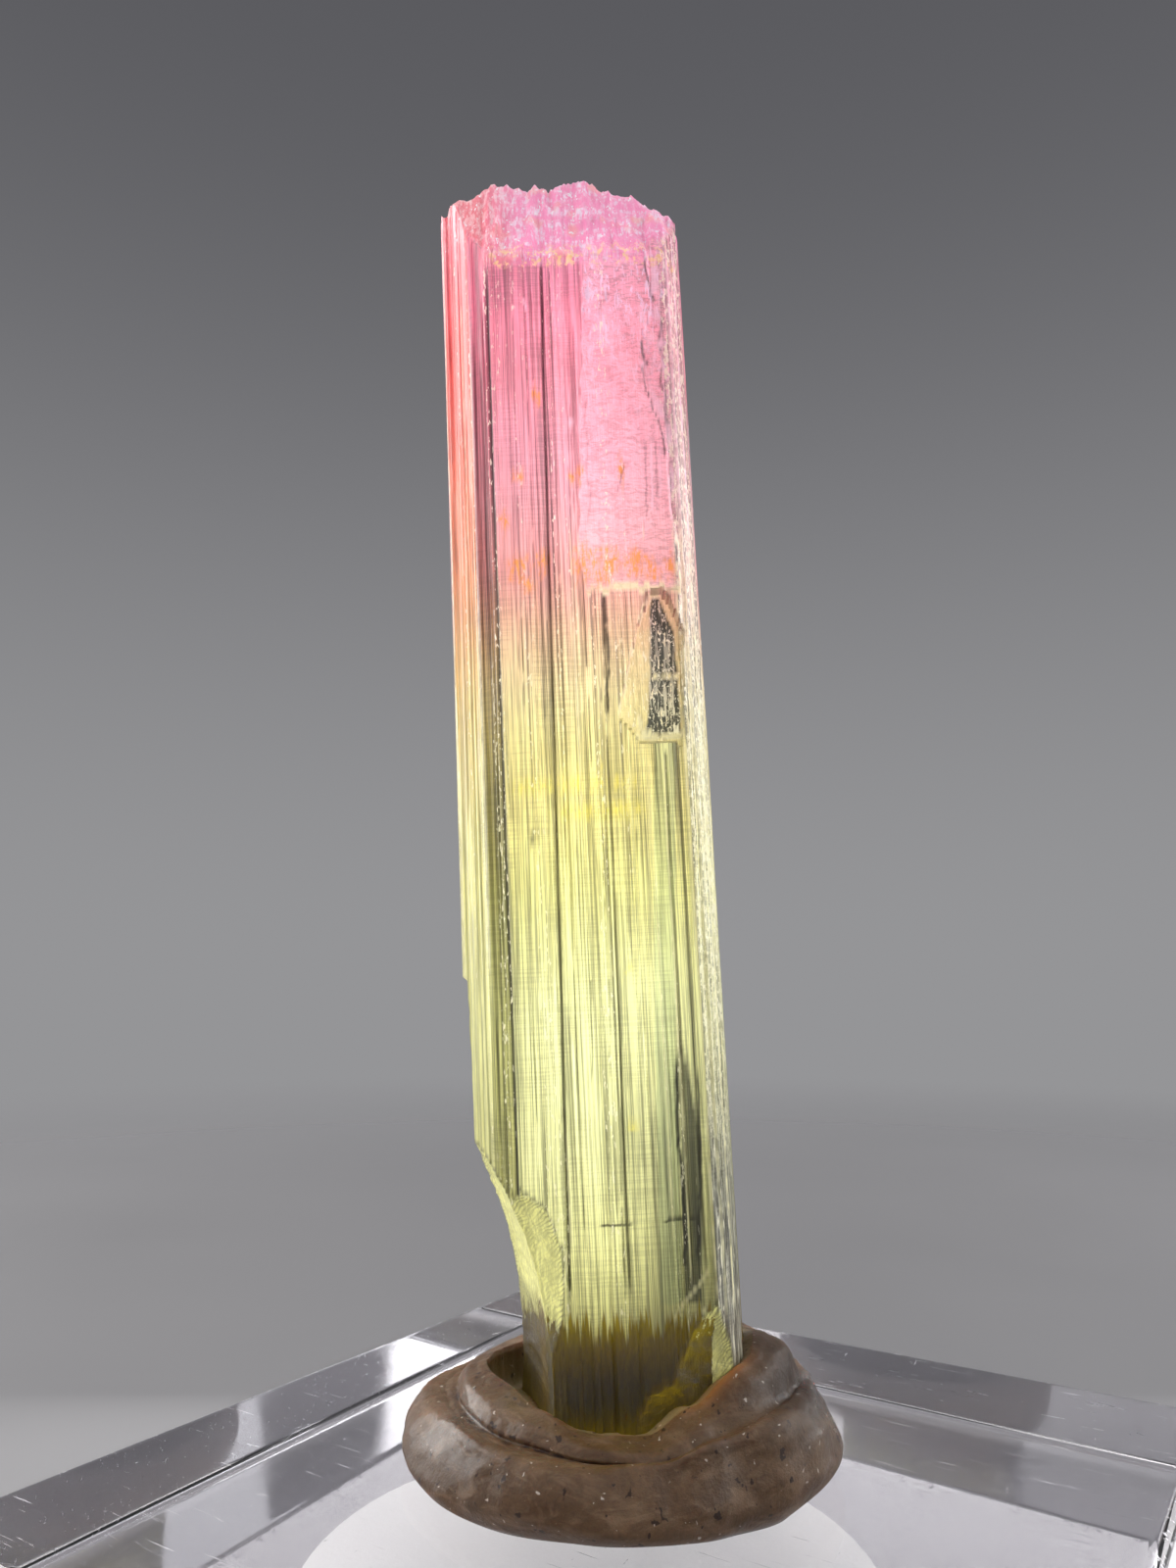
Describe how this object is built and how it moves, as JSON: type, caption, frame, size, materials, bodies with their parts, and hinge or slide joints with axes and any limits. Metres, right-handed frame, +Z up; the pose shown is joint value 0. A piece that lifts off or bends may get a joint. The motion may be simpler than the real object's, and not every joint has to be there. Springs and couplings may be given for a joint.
{
  "type": "tourmaline crystal on a stand",
  "caption": "Two-coloured striated tourmaline crystal standing upright in a pressed lump of putty on a clear square display base with a round white label underneath.",
  "frame": {"origin": "middle of the square base, level with the underside of the label it stands on", "axes": "+Z up along the crystal; X and Y along the sides of the base; the wide front face of the crystal looks towards -Y, turned 33 degrees towards +X"},
  "size_m": [0.0254, 0.0254, 0.044],
  "materials": {
    "crystal": "glassy, striated along its length; pink at the top, yellow-green below",
    "putty": "soft satin, speckled",
    "base": "clear polished acrylic",
    "label": "matt white"
  },
  "bodies": {
    "root": {"crystal": "crystal", "putty": "putty", "base": "base", "label": "label"}
  },
  "joints": []
}
